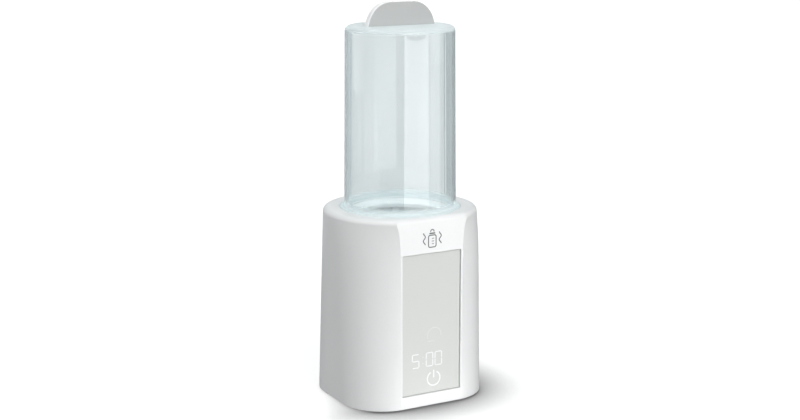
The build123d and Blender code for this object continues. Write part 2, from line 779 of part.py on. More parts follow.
# ---------------------------------------------------------------- mains cord
with BuildPart() as cord_clamp:
    with BuildSketch(Plane.XY.offset(clamp_seat)):
        with Locations((0, clamp_y)):
            Rectangle(*clamp_size)
        with Locations(clamp_screw_places):
            Circle(m2_radius + m3_clearance, mode=Mode.SUBTRACT)
    extrude(amount=clamp_top - clamp_seat)
    with BuildSketch(Plane.XZ.offset(-clamp_y)):
        with Locations((0, cord_height)):
            Circle(cord_radius + cord_play)
    extrude(amount=clamp_size[1], both=True, mode=Mode.SUBTRACT)
    fillet(cord_clamp.edges().filter_by(Axis.Y).group_by(Axis.Z)[-1], 1)
cord_clamp.part.label = "cord_clamp"
export_step(cord_clamp.part, "parts/cord_clamp.step")

with BuildPart() as cord_clamp_screws:
    with Locations(Plane(origin=(0, 0, clamp_top), x_dir=(1, 0, 0), z_dir=(0, 0, -1))):
        with Locations([(x, -y) for x, y in clamp_screw_places]):
            add(screw(m2_radius, m2_head, clamp_top - clamp_seat + clamp_screw_depth))
cord_clamp_screws.part.label = "cord_clamp_screws"
export_step(cord_clamp_screws.part, "parts/cord_clamp_screws.step")

with BuildPart() as strain_relief:
    # an inner flange, a neck through the wall, an outer flange and a tapered boot
    bore = cord_radius + cord_play
    neck_radius = relief_hole - 0.1
    inner_face = foot_back - wall - 0.2
    outer_face = foot_back + 0.3
    with Locations(Plane(origin=(0, 0, cord_height), x_dir=(1, 0, 0), z_dir=(0, 1, 0))):
        add(turned((bore, inner_face - 2), (6, inner_face - 2), (6, inner_face), (neck_radius, inner_face),
                   (neck_radius, outer_face), (6.8, outer_face), (6.8, outer_face + 1.6),
                   (5.4, outer_face + 2.4), (4, boot_end), (bore, boot_end)))
strain_relief.part.label = "strain_relief"
export_step(strain_relief.part, "parts/strain_relief.step")


def coil_arcs():
    """Semicircles of a flat coil, each a step smaller than the last, alternating between two centres."""
    for turn in range(coil_half_turns):
        radius = coil_radius - turn * coil_step
        centre_x = coil_centre[0] + (coil_step if turn % 2 else 0)
        CenterArc((centre_x, coil_centre[1], cord_floor), radius, 0 if turn % 2 else 180, -180)


with BuildPart() as power_cord:
    coil_start = (coil_centre[0] - coil_radius, coil_centre[1], cord_floor)
    coil_end = coil_centre[0] + coil_radius - (coil_half_turns - 1) * coil_step
    turn_centre = coil_end - turn_radius
    rise = plug_height - cord_floor
    # the last bend climbs over the coil while it turns back towards the plug
    last_bend = [(turn_centre + turn_radius * cos(pi * share), coil_centre[1] - turn_radius * sin(pi * share),
                  cord_floor + rise * (1 - cos(pi * share)) / 2) for share in (0, 0.25, 0.5, 0.75, 1)]
    with BuildLine() as cord_route:
        Line((0, cord_start, cord_height), (0, boot_end + 4, cord_height))
        Spline((0, boot_end + 4, cord_height), coil_start, tangents=((0, 1, 0), (0, 1, 0)))
        coil_arcs()
        Spline(*last_bend, tangents=((0, -1, 0), (0, 1, 0)))
        Line(last_bend[-1], (last_bend[-1][0], plug_start + 8, plug_height))
    with BuildSketch(Plane(origin=(0, cord_start, cord_height), z_dir=(0, 1, 0))):
        Circle(cord_radius)
    sweep()
power_cord.part.label = "power_cord"
export_step(power_cord.part, "parts/power_cord.step")

plug_x = last_bend[-1][0]
with BuildPart() as plug_body:
    width, length, height = plug_size
    plug_back = Plane(origin=(plug_x, plug_start, plug_height), x_dir=(-1, 0, 0), z_dir=(0, 1, 0))
    with BuildSketch(plug_back):
        RectangleRounded(12, 9, 4)
    with BuildSketch(plug_back.offset(length * 0.55)):
        RectangleRounded(width, height, 5)
    loft()
    with BuildSketch(plug_back.offset(length * 0.55)):
        RectangleRounded(width, height, 5)
    extrude(amount=length * 0.45)
    fillet(plug_body.edges().group_by(Axis.Y)[-1], 1.2)
    with BuildSketch(plug_back):
        Circle(cord_radius + cord_play)
    extrude(amount=8.2, mode=Mode.SUBTRACT)
    with BuildSketch(plug_back.offset(length)):
        with GridLocations(pin_spacing, 1, 2, 1):
            Circle(pin_root_radius)
    extrude(amount=-pin_root_length, mode=Mode.SUBTRACT)
plug_body.part.label = "plug_body"
export_step(plug_body.part, "parts/plug_body.step")

with BuildPart() as plug_pins:
    with BuildSketch(plug_back.offset(length)):
        with GridLocations(pin_spacing, 1, 2, 1):
            Circle(pin_radius)
    extrude(amount=pin_length)
    fillet(plug_pins.edges().group_by(Axis.Y)[-1], 1.2)
    with BuildSketch(plug_back.offset(length)):
        with GridLocations(pin_spacing, 1, 2, 1):
            Circle(pin_root_radius)
    extrude(amount=-pin_root_length)
plug_pins.part.label = "plug_pins"
export_step(plug_pins.part, "parts/plug_pins.step")

# ---------------------------------------------------------------- cover
with BuildPart() as cover_tube:
    cover_low = seat_height + seat_play
    with BuildSketch(Plane.XZ) as wall_outline:
        with BuildLine():
            Polyline((0, cover_top), (cover_top_radius, cover_top),
                     (cover_foot_radius, flange_height), (flange_radius, flange_height - 0.3),
                     (flange_radius, cover_low), (cover_foot_radius - cover_wall, cover_low),
                     (cover_top_radius - cover_wall, cover_top - cover_wall),
                     (0, cover_top - cover_wall), close=True)
        make_face()
        corners = wall_outline.vertices()
        fillet(corners.sort_by_distance((cover_top_radius, cover_top))[0], cover_shoulder)
        fillet(wall_outline.vertices().sort_by_distance((cover_top_radius - cover_wall,
                                                         cover_top - cover_wall))[0], 2)
        fillet(wall_outline.vertices().sort_by_distance((flange_radius, flange_height))[0], 1)
        fillet(wall_outline.vertices().sort_by_distance((cover_foot_radius, flange_height))[0], 1.2)
        fillet(wall_outline.vertices().sort_by_distance((flange_radius, cover_low))[0], 0.6)
    revolve(axis=Axis.Z)
    with BuildSketch(Plane.XY.offset(cover_top)):
        with Locations((-grip_screw_x, 0), (grip_screw_x, 0)):
            Circle(m3_radius + m3_clearance)
    extrude(amount=-cover_wall, mode=Mode.SUBTRACT)
cover_tube.part.label = "cover_tube"
export_step(cover_tube.part, "parts/cover_tube.step")

with BuildPart() as cover_grip:
    with BuildSketch(Plane.XZ) as fin_outline:
        with Locations((0, grip_centre)):
            Circle(grip_radius)
        with Locations((0, (cover_top + grip_top) / 2)):
            Rectangle(2 * grip_radius, grip_top - cover_top, mode=Mode.INTERSECT)
        fillet(fin_outline.vertices().group_by(Axis.Y)[-1], grip_corner)
    extrude(amount=grip_thickness / 2, both=True)
    fillet(cover_grip.edges().filter_by(lambda edge: edge.center().Z > cover_top + 0.1), grip_rounding)
    with BuildSketch(Plane.XY.offset(cover_top)):
        with Locations((-grip_screw_x, 0), (grip_screw_x, 0)):
            Circle(m3_radius + screw_play)
    extrude(amount=grip_hole_depth, mode=Mode.SUBTRACT)
cover_grip.part.label = "cover_grip"
export_step(cover_grip.part, "parts/cover_grip.step")

with BuildPart() as grip_washers:
    with BuildSketch(Plane.XY.offset(cover_top - cover_wall)):
        with Locations((-grip_screw_x, 0), (grip_screw_x, 0)):
            Circle(washer_radius)
            Circle(m3_radius + screw_play, mode=Mode.SUBTRACT)
    extrude(amount=-washer_thickness)
grip_washers.part.label = "grip_washers"
export_step(grip_washers.part, "parts/grip_washers.step")

with BuildPart() as grip_screws:
    with Locations(Plane.XY.offset(cover_top - cover_wall - washer_thickness)):
        with Locations((-grip_screw_x, 0), (grip_screw_x, 0)):
            add(screw(m3_radius, m3_head, grip_screw_length))
grip_screws.part.label = "grip_screws"
export_step(grip_screws.part, "parts/grip_screws.step")

# ---------------------------------------------------------------- bottle basket
with BuildPart() as bottle_basket:
    add(turned((basket_inner, basket_high - 4), (basket_radius, basket_high - 4),
               (basket_radius, basket_high), (basket_inner + 1.2, basket_high),
               (basket_inner, basket_high - 1.2)))
    with BuildSketch(Plane.XY.offset(basket_low)):
        Circle(basket_radius - 0.6)
        Circle(8, mode=Mode.SUBTRACT)
        with PolarLocations(21, basket_ribs):
            Circle(5, mode=Mode.SUBTRACT)
    extrude(amount=2)
    with BuildSketch(Plane.XY.offset(basket_low)):
        with PolarLocations(basket_radius - 1.6, basket_ribs, start_angle=180 / basket_ribs):
            RectangleRounded(2, 5, 0.6)
    extrude(amount=basket_high - basket_low - 2)
bottle_basket.part.label = "bottle_basket"
export_step(bottle_basket.part, "parts/bottle_basket.step")
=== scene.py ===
"""Looks of a countertop bottle warmer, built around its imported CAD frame. Lengths are in metres."""
import json
import math

import bmesh
import bpy
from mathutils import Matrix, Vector


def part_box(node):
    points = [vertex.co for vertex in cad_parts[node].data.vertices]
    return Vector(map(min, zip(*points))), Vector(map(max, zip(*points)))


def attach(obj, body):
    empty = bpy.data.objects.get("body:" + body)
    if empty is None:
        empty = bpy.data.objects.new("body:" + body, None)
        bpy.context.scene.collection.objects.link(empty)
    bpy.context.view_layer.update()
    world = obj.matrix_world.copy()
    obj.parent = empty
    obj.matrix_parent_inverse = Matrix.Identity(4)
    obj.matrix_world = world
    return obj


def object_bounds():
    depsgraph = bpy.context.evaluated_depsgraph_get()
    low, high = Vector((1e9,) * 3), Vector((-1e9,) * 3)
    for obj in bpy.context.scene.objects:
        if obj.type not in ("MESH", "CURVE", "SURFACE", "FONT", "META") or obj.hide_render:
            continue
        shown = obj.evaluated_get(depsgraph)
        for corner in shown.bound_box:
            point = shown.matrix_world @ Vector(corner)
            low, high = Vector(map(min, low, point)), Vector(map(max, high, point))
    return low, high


MM = 0.001
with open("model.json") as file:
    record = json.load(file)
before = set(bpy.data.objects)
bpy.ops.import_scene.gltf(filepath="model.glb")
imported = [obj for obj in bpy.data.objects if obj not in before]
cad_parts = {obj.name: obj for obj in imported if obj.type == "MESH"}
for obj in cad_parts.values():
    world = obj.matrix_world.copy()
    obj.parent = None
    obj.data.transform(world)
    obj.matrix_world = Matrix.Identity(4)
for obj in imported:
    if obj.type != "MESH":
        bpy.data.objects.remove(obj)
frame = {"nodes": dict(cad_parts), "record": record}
cad_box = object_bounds()
record = frame["record"]
slot_of = {part["node"]: part["material_slot"] for part in record["subparts"]}
slot_colour = {m["slot"]: tuple(m["base_color"][:3]) for m in record["materials"]}


# ---------------------------------------------------------------- shader nodes
def add_node(tree, kind, inputs=None, **attributes):
    """Adds a shader node, sets its attributes, and sets or links its inputs."""
    made = tree.nodes.new("ShaderNode" + kind)
    for name, value in attributes.items():
        setattr(made, name, value)
    for name, value in (inputs or {}).items():
        if isinstance(value, bpy.types.NodeSocket):
            tree.links.new(value, made.inputs[name])
        else:
            made.inputs[name].default_value = value
    return made


def link(tree, value, socket):
    """Feeds an output socket into an input socket."""
    tree.links.new(value, socket)


def new_material(name):
    """Empty node material: returns it with its tree, principled shader and object coordinates."""
    material = bpy.data.materials.new(name)
    material.use_nodes = True
    tree = material.node_tree
    shader = tree.nodes["Principled BSDF"]
    place = add_node(tree, "TexCoord").outputs["Object"]
    return material, tree, shader, place


def combine(tree, operation, first, second=0.0):
    """Result of a math node on values or sockets."""
    return add_node(tree, "Math", {0: first, 1: second}, operation=operation).outputs["Value"]


def axis_value(tree, vector, axis):
    """One coordinate, X, Y or Z, of a vector socket."""
    return add_node(tree, "SeparateXYZ", {"Vector": vector}).outputs[axis]


def noise(tree, place, scale, detail=2.0, roughness=0.5, stretch=None):
    """Noise value at a scale in features per metre, optionally stretched along the axes."""
    if stretch:
        place = add_node(tree, "Mapping", {"Vector": place, "Scale": stretch}).outputs["Vector"]
    return add_node(tree, "TexNoise", {"Vector": place, "Scale": scale, "Detail": detail,
                                       "Roughness": roughness}).outputs["Fac"]


def remap(tree, value, low, high, from_low=0.3, from_high=0.7, smooth=False):
    """Value mapped to low..high from a range, which is a noise's usual one unless given."""
    return add_node(tree, "MapRange", {"Value": value, "From Min": from_low, "From Max": from_high,
                                       "To Min": low, "To Max": high},
                    interpolation_type="SMOOTHSTEP" if smooth else "LINEAR").outputs["Result"]


def smooth_band(tree, value, low, high, soft_low, soft_high):
    """1 while the value is between low and high, with soft ends."""
    rising = remap(tree, value, 0, 1, low - soft_low, low + soft_low, smooth=True)
    falling = remap(tree, value, 1, 0, high - soft_high, high + soft_high, smooth=True)
    return combine(tree, "MULTIPLY", rising, falling)


MIX_SHARE, MIX_FIRST, MIX_SECOND = 0, 6, 7   # inputs of a mix node that mixes colours
MIX_RESULT = 2


def mix_colour(tree, share, first, second):
    """Colour between two colours or colour sockets."""
    mixer = tree.nodes.new("ShaderNodeMix")
    mixer.data_type = "RGBA"
    for index, value in ((MIX_SHARE, share), (MIX_FIRST, first), (MIX_SECOND, second)):
        if isinstance(value, bpy.types.NodeSocket):
            tree.links.new(value, mixer.inputs[index])
        elif index == MIX_SHARE:
            mixer.inputs[index].default_value = value
        else:
            mixer.inputs[index].default_value = (*value, 1.0)
    return mixer.outputs[MIX_RESULT]


def mix_shader(tree, share, first, second):
    """Blend of two shaders."""
    mixer = add_node(tree, "MixShader", {"Fac": share})
    tree.links.new(first, mixer.inputs[1])
    tree.links.new(second, mixer.inputs[2])
    return mixer.outputs["Shader"]


def scaled(colour, factor):
    """Colour made lighter or darker."""
    return tuple(min(1.0, channel * factor) for channel in colour)


def rounded_normal(tree, radius):
    """Normal that rounds every edge off by a radius."""
    return add_node(tree, "Bevel", {"Radius": radius}, samples=4).outputs["Normal"]


def edge_share(tree, radius):
    """0 on flat surface, towards 1 within a radius of an edge, for wear along edges."""
    flat = add_node(tree, "NewGeometry").outputs["Normal"]
    alike = add_node(tree, "VectorMath", {0: rounded_normal(tree, radius), 1: flat},
                     operation="DOT_PRODUCT").outputs["Value"]
    return remap(tree, alike, 1.0, 0.0, from_low=0.80, from_high=0.995)


def bump(tree, height, strength, distance, normal=None):
    """Normal disturbed by a height value."""
    inputs = {"Height": height, "Strength": strength, "Distance": distance}
    if normal is not None:
        inputs["Normal"] = normal
    return add_node(tree, "Bump", inputs).outputs["Normal"]


# ---------------------------------------------------------------- materials
def moulded_plastic(name, colour, roughness, grain=0.02, coat=0.0, edge=0.35 * MM, haze=0.0):
    """Injection-moulded plastic: faint flow mottling, mould texture, softened and slightly worn edges."""
    material, tree, shader, place = new_material(name)
    flow = noise(tree, place, scale=14, detail=3, roughness=0.55, stretch=(1, 1, 0.35))
    tone = mix_colour(tree, remap(tree, flow, 0, 1), scaled(colour, 0.975), scaled(colour, 1.012))
    specks = remap(tree, noise(tree, place, scale=900, detail=1), 0, 1, from_low=0.68, from_high=0.8)
    tone = mix_colour(tree, specks, tone, scaled(colour, 0.93))
    tone = mix_colour(tree, edge_share(tree, 0.7 * MM), tone, scaled(colour, 1.04))
    link(tree, tone, shader.inputs["Base Color"])
    smears = noise(tree, place, scale=38, detail=4, roughness=0.6, stretch=(1, 1, 2.2))
    link(tree, remap(tree, smears, roughness - 0.035, roughness + 0.045), shader.inputs["Roughness"])
    ripple = bump(tree, noise(tree, place, scale=55, detail=1), grain * 1.5, 0.4 * MM,
                  rounded_normal(tree, edge))
    texture = bump(tree, noise(tree, place, scale=1600), grain, 0.15 * MM, ripple)
    link(tree, texture, shader.inputs["Normal"])
    shader.inputs["Coat Weight"].default_value = coat
    shader.inputs["Coat Roughness"].default_value = 0.06
    shader.inputs["Subsurface Weight"].default_value = haze
    shader.inputs["Subsurface Radius"].default_value = (2.0 * MM, 1.8 * MM, 1.7 * MM)
    shader.inputs["Subsurface Scale"].default_value = 1.0
    return material


def painted_rim_highlight_plastic(name, face_colour, rim_highlight_colour):
    """Grey fin plastic: grey faces to the front and back, and a painted highlight that makes the rim around
    them paler.
    """
    material = moulded_plastic(name, face_colour, roughness=0.42, grain=0.05)
    tree = material.node_tree
    colour_input = tree.nodes["Principled BSDF"].inputs["Base Color"]
    # painted highlight: every surface that doesn't face front or back takes the paler rim colour
    facing = add_node(tree, "NewGeometry").outputs["Normal"]
    flatness = combine(tree, "ABSOLUTE", axis_value(tree, facing, "Y"))
    rim = remap(tree, flatness, 1, 0, from_low=0.75, from_high=0.97)
    face_tone = colour_input.links[0].from_socket
    link(tree, mix_colour(tree, rim, face_tone, rim_highlight_colour), colour_input)
    return material


def clear_plastic(name, haze_share=0.10, frosted_share=0.75, shadow_openness=0.80):
    """Clear moulded plastic: pale aqua where the wall is seen edge on, milkier at its top and foot."""
    material, tree, shader, place = new_material(name)
    shader.inputs["Base Color"].default_value = (0.985, 1.0, 1.0, 1.0)
    shader.inputs["Transmission Weight"].default_value = 1.0
    shader.inputs["IOR"].default_value = 1.49
    flow = noise(tree, place, scale=26, detail=3, roughness=0.6, stretch=(1, 1, 0.4))
    link(tree, remap(tree, flow, 0.01, 0.04), shader.inputs["Roughness"])
    ripple = noise(tree, place, scale=30, detail=1, roughness=0.4, stretch=(1, 1, 0.22))
    link(tree, bump(tree, ripple, 0.02, 0.5 * MM), shader.inputs["Normal"])
    tint = add_node(tree, "VolumeAbsorption", {"Color": (0.10, 0.72, 0.82, 1.0), "Density": 8.0})
    output = tree.nodes["Material Output"]
    link(tree, tint.outputs["Volume"], output.inputs["Volume"])
    # the haze scatters light to both sides of the wall
    haze_colour = (0.93, 0.965, 0.97, 1.0)
    lit_side = add_node(tree, "BsdfDiffuse", {"Color": haze_colour}).outputs["BSDF"]
    far_side = add_node(tree, "BsdfTranslucent", {"Color": haze_colour}).outputs["BSDF"]
    milky = mix_shader(tree, 0.5, lit_side, far_side)
    # the closed top and the flange at the foot are frosted
    low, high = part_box("cover_tube")
    height = axis_value(tree, place, "Z")
    top = remap(tree, height, 0, frosted_share, high.z - 4.5 * MM, high.z - 1 * MM)
    foot = remap(tree, height, frosted_share, 0, low.z + 3 * MM, low.z + 7 * MM)
    share = remap(tree, flow, haze_share * 0.85, haze_share * 1.15)
    share = combine(tree, "ADD", combine(tree, "ADD", share, top), foot)
    hazy = mix_shader(tree, share, shader.outputs["BSDF"], milky)
    # lamps light the well through the wall, as they do through real clear plastic
    shadow_ray = add_node(tree, "LightPath").outputs["Is Shadow Ray"]
    open_share = combine(tree, "MULTIPLY", shadow_ray, shadow_openness)
    through = add_node(tree, "BsdfTransparent", {"Color": (0.93, 0.97, 0.98, 1.0)}).outputs["BSDF"]
    link(tree, mix_shader(tree, open_share, hazy, through), output.inputs["Surface"])
    return material


def display_lens(name, colour):
    """Back-printed lens: even grey under a hard clear gloss, with faint painted shading that darkens it
    towards the bottom.
    """
    material, tree, shader, place = new_material(name)
    low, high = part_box("display_panel")
    # painted shading: the lens is darker towards its bottom and lighter towards its top
    painted_shading = remap(tree, axis_value(tree, place, "Z"), 0, 1, low.z, high.z)
    tone = mix_colour(tree, painted_shading, scaled(colour, 0.92), scaled(colour, 1.02))
    print_dots = remap(tree, noise(tree, place, scale=2600, detail=1), 0, 0.35)
    tone = mix_colour(tree, print_dots, tone, scaled(colour, 1.03))
    link(tree, tone, shader.inputs["Base Color"])
    smears = noise(tree, place, scale=130, detail=4, roughness=0.65, stretch=(1, 1, 0.6))
    link(tree, remap(tree, smears, 0.28, 0.31), shader.inputs["Roughness"])
    shader.inputs["Coat Weight"].default_value = 0.4
    link(tree, remap(tree, smears, 0.10, 0.13), shader.inputs["Coat Roughness"])
    waviness = noise(tree, place, scale=60, detail=1)
    link(tree, bump(tree, waviness, 0.006, 0.3 * MM, rounded_normal(tree, 0.3 * MM)),
         shader.inputs["Normal"])
    return material


def lit_print(name, colour, glow):
    """Symbols lit from behind, a little uneven from the light guide."""
    material, tree, shader, place = new_material(name)
    guide = noise(tree, place, scale=320)
    tone = mix_colour(tree, remap(tree, guide, 0, 1), scaled(colour, 0.95), colour)
    link(tree, tone, shader.inputs["Base Color"])
    link(tree, tone, shader.inputs["Emission Color"])
    link(tree, remap(tree, guide, glow * 0.85, glow), shader.inputs["Emission Strength"])
    shader.inputs["Roughness"].default_value = 0.35
    return material


def pad_print(name, colour):
    """Pad-printed ink: matt, with fine speckle from the pad."""
    material, tree, shader, place = new_material(name)
    speckle = remap(tree, noise(tree, place, scale=4200), 0, 1)
    tone = mix_colour(tree, speckle, scaled(colour, 0.9), scaled(colour, 1.15))
    link(tree, tone, shader.inputs["Base Color"])
    link(tree, remap(tree, noise(tree, place, scale=900), 0.42, 0.55), shader.inputs["Roughness"])
    link(tree, bump(tree, speckle, 0.08, 0.02 * MM), shader.inputs["Normal"])
    return material


def brushed_metal(name, colour, roughness, stretch=(1, 1, 1), heat_tint=None, turned=False):
    """Brushed or drawn metal: fine lines, blotchy polish, and a heat tint or lathe marks if asked for."""
    material, tree, shader, place = new_material(name)
    lines = noise(tree, place, scale=900, detail=3, roughness=0.6, stretch=stretch)
    blotch = noise(tree, place, scale=60, detail=3)
    tone = mix_colour(tree, remap(tree, lines, 0, 1), scaled(colour, 0.86), scaled(colour, 1.08))
    if heat_tint:
        tone = mix_colour(tree, remap(tree, blotch, 0, 0.7), tone, heat_tint)
    link(tree, tone, shader.inputs["Base Color"])
    shader.inputs["Metallic"].default_value = 1.0
    link(tree, remap(tree, blotch, roughness - 0.05, roughness + 0.08), shader.inputs["Roughness"])
    if turned:
        shader.inputs["Anisotropic"].default_value = 0.7
        tangent = add_node(tree, "Tangent", direction_type="RADIAL", axis="Z")
        link(tree, tangent.outputs["Tangent"], shader.inputs["Tangent"])
    link(tree, bump(tree, lines, 0.12, 0.05 * MM, rounded_normal(tree, 0.2 * MM)),
         shader.inputs["Normal"])
    return material


def soft_rubber(name, colour, roughness, clear=0.0):
    """Rubber or silicone: matt, finely pored and a little dusty."""
    material, tree, shader, place = new_material(name)
    dust = remap(tree, noise(tree, place, scale=70, detail=5, roughness=0.7), 0, 1)
    link(tree, mix_colour(tree, dust, scaled(colour, 0.92), scaled(colour, 1.1)),
         shader.inputs["Base Color"])
    wear = noise(tree, place, scale=240, detail=3)
    link(tree, remap(tree, wear, roughness - 0.06, roughness + 0.06), shader.inputs["Roughness"])
    link(tree, bump(tree, noise(tree, place, scale=2200), 0.12, 0.08 * MM), shader.inputs["Normal"])
    shader.inputs["Transmission Weight"].default_value = clear
    return material


def circuit_board(name, colour):
    """Solder-masked board with copper tracks showing through and tinned pads."""
    material, tree, shader, place = new_material(name)
    tracks = add_node(tree, "TexVoronoi", {"Vector": place, "Scale": 210.0}, distance="MANHATTAN",
                      feature="DISTANCE_TO_EDGE").outputs["Distance"]
    copper = remap(tree, tracks, 1, 0, from_low=0.03, from_high=0.06)
    tone = mix_colour(tree, copper, colour, scaled(colour, 1.9))
    pads = add_node(tree, "TexVoronoi", {"Vector": place, "Scale": 330.0}).outputs["Distance"]
    pad_share = remap(tree, pads, 1, 0, from_low=0.12, from_high=0.15)
    tinned = (0.62, 0.62, 0.58)
    link(tree, mix_colour(tree, pad_share, tone, tinned), shader.inputs["Base Color"])
    link(tree, pad_share, shader.inputs["Metallic"])
    shader.inputs["Roughness"].default_value = 0.32
    link(tree, bump(tree, copper, 0.2, 0.05 * MM), shader.inputs["Normal"])
    return material


def ribbon_wire(name, colour, wire_pitch=1.27 * MM):
    """Flat cable: one ridge per conductor across its width."""
    material, tree, shader, place = new_material(name)
    angle = combine(tree, "MULTIPLY", axis_value(tree, place, "X"), 2 * math.pi / wire_pitch)
    ridges = remap(tree, combine(tree, "SINE", angle), 0, 1, from_low=-1, from_high=1)
    link(tree, mix_colour(tree, ridges, scaled(colour, 0.7), colour), shader.inputs["Base Color"])
    link(tree, bump(tree, ridges, 0.6, 0.2 * MM), shader.inputs["Normal"])
    link(tree, remap(tree, noise(tree, place, scale=200), 0.45, 0.6), shader.inputs["Roughness"])
    return material


def cord_sheath(name, colour):
    """Mains cord: satin flexible sheath with faint extrusion marks and handling marks."""
    material, tree, shader, place = new_material(name)
    marks = noise(tree, place, scale=120, detail=4, roughness=0.6)
    tone = mix_colour(tree, remap(tree, marks, 0, 1), scaled(colour, 0.95), scaled(colour, 1.03))
    link(tree, tone, shader.inputs["Base Color"])
    link(tree, remap(tree, marks, 0.38, 0.5), shader.inputs["Roughness"])
    link(tree, bump(tree, noise(tree, place, scale=1300), 0.05, 0.1 * MM), shader.inputs["Normal"])
    return material


def make_finish(slot):
    """Material for one of the record's slots."""
    colour = slot_colour[slot]
    white_shell = (0.83, 0.84, 0.84)
    white_liner = (0.80, 0.83, 0.84)
    # the fin's paler rim colour is a painted highlight
    fin_face, fin_rim_highlight = (0.50, 0.505, 0.50), (0.93, 0.94, 0.94)
    lens_grey = (0.74, 0.755, 0.73)
    straw = (0.42, 0.3, 0.16)
    along_y, along_z, around = (1, 0.05, 1), (1, 1, 0.1), (0.2, 0.2, 1)
    makers = {
        "housing_white": lambda: moulded_plastic(slot, white_shell, 0.34, grain=0.015, coat=0.15,
                                                 edge=0.5 * MM, haze=0.15),
        "cover_clear": lambda: clear_plastic(slot),
        "grip_grey": lambda: painted_rim_highlight_plastic(slot, fin_face, fin_rim_highlight),
        "panel_grey": lambda: display_lens(slot, lens_grey),
        "liner_white": lambda: moulded_plastic(slot, white_liner, 0.38, grain=0.03),
        "basket_white": lambda: moulded_plastic(slot, white_liner, 0.34),
        "fixing_plastic": lambda: moulded_plastic(slot, colour, 0.45, grain=0.05),
        "plug_white": lambda: moulded_plastic(slot, colour, 0.3, grain=0.03, coat=0.2),
        "component_black": lambda: moulded_plastic(slot, colour, 0.5, grain=0.06),
        "relay_blue": lambda: moulded_plastic(slot, colour, 0.35, grain=0.03),
        "film_yellow": lambda: moulded_plastic(slot, colour, 0.3, grain=0.03),
        "socket_ivory": lambda: moulded_plastic(slot, colour, 0.4, grain=0.03),
        "thermostat_black": lambda: moulded_plastic(slot, colour, 0.55, grain=0.08),
        "tape_black": lambda: soft_rubber(slot, colour, 0.9),
        "seal_silicone": lambda: soft_rubber(slot, colour, 0.5, clear=0.25),
        "foot_grey": lambda: soft_rubber(slot, colour, 0.8),
        "lead_red": lambda: soft_rubber(slot, colour, 0.55),
        "lead_grey": lambda: soft_rubber(slot, colour, 0.55),
        "cord_white": lambda: cord_sheath(slot, colour),
        "ribbon_grey": lambda: ribbon_wire(slot, colour),
        "board_green": lambda: circuit_board(slot, colour),
        "screw_steel": lambda: brushed_metal(slot, colour, 0.32),
        "spring_steel": lambda: brushed_metal(slot, colour, 0.25),
        "well_steel": lambda: brushed_metal(slot, colour, 0.3, around, turned=True),
        "block_aluminium": lambda: brushed_metal(slot, colour, 0.42, along_y),
        "element_steel": lambda: brushed_metal(slot, colour, 0.38, heat_tint=straw),
        "probe_brass": lambda: brushed_metal(slot, colour, 0.3, along_z),
        "pin_nickel": lambda: brushed_metal(slot, colour, 0.18, along_y),
    }
    return makers[slot]()


finishes = {slot: make_finish(slot) for slot in slot_colour}


def dress(piece, material):
    """Gives a piece one material."""
    if not piece.material_slots:
        piece.data.materials.append(material)
    for material_slot in piece.material_slots:
        material_slot.material = material


for name, piece in frame["nodes"].items():
    dress(piece, finishes[slot_of[name]])


# ---------------------------------------------------------------- mesh helpers
PRINT_THICKNESS = 0.06 * MM


def add_object(name, mesh_data, material):
    """Object made from bmesh data, with a material, in the scene."""
    mesh = bpy.data.meshes.new(name)
    mesh_data.normal_update()
    mesh_data.to_mesh(mesh)
    mesh_data.free()
    made = bpy.data.objects.new(name, mesh)
    bpy.context.scene.collection.objects.link(made)
    dress(made, material)
    return made


def print_on_base(name, mesh_data, ink):
    """Printed piece that rides on the base, in its ink."""
    piece = add_object(name, mesh_data, ink)
    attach(piece, "base")


def stage_sheet(name, corners, material):
    """Flat sheet that belongs to the studio."""
    mesh_data = bmesh.new()
    mesh_data.faces.new([mesh_data.verts.new(corner) for corner in corners])
    sheet = add_object(name, mesh_data, material)
    return sheet


def flat_prism(mesh_data, outline, front):
    """Thin printed plate standing on a plane that faces the front: outline points are (x, z)."""
    back_ring = [mesh_data.verts.new((x, front + PRINT_THICKNESS, z)) for x, z in outline]
    front_ring = [mesh_data.verts.new((x, front, z)) for x, z in outline]
    mesh_data.faces.new(front_ring)
    mesh_data.faces.new(back_ring[::-1])
    count = len(outline)
    for i in range(count):
        j = (i + 1) % count
        mesh_data.faces.new((front_ring[j], front_ring[i], back_ring[i], back_ring[j]))


def stroke(mesh_data, points, width, front, closed=False):
    """Printed line of even width along points (x, z), with square ends."""
    count = len(points)
    back = front + PRINT_THICKNESS
    rings = []
    for i, (x, z) in enumerate(points):
        before = points[i - 1] if closed or i else points[i]
        after = points[(i + 1) % count] if closed or i < count - 1 else points[i]
        along = Vector((after[0] - before[0], after[1] - before[1])).normalized()
        side = Vector((-along.y, along.x)) * width / 2
        left, right = (x + side.x, z + side.y), (x - side.x, z - side.y)
        rings.append([mesh_data.verts.new((corner[0], depth, corner[1])) for corner, depth in (
            (left, front), (right, front), (right, back), (left, back))])
    for i in range(count if closed else count - 1):
        first, second = rings[i], rings[(i + 1) % count]
        for k in range(4):
            mesh_data.faces.new((first[k], second[k], second[(k + 1) % 4], first[(k + 1) % 4]))
    if not closed:
        mesh_data.faces.new(rings[0])
        mesh_data.faces.new(rings[-1][::-1])


def arc(centre, radius, start, end, steps):
    """Points (x, z) on an arc, angles in degrees."""
    angles = [math.radians(start + (end - start) * i / steps) for i in range(steps + 1)]
    return [(centre[0] + radius * math.cos(a), centre[1] + radius * math.sin(a)) for a in angles]


def shifted(centre, points):
    """Points given in millimetres about a centre (x, z)."""
    return [(centre[0] + x * MM, centre[1] + z * MM) for x, z in points]


# ---------------------------------------------------------------- display symbols
KEY_RADIUS = 3.55 * MM                 # of the touch spring behind each symbol

symbol_light = lit_print("symbol_light", (0.87, 0.89, 0.89), glow=0.10)
faint_light = lit_print("faint_light", (0.76, 0.78, 0.77), glow=0.05)
panel_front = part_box("display_panel")[0].y - PRINT_THICKNESS
key_low, key_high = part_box("touch_springs")

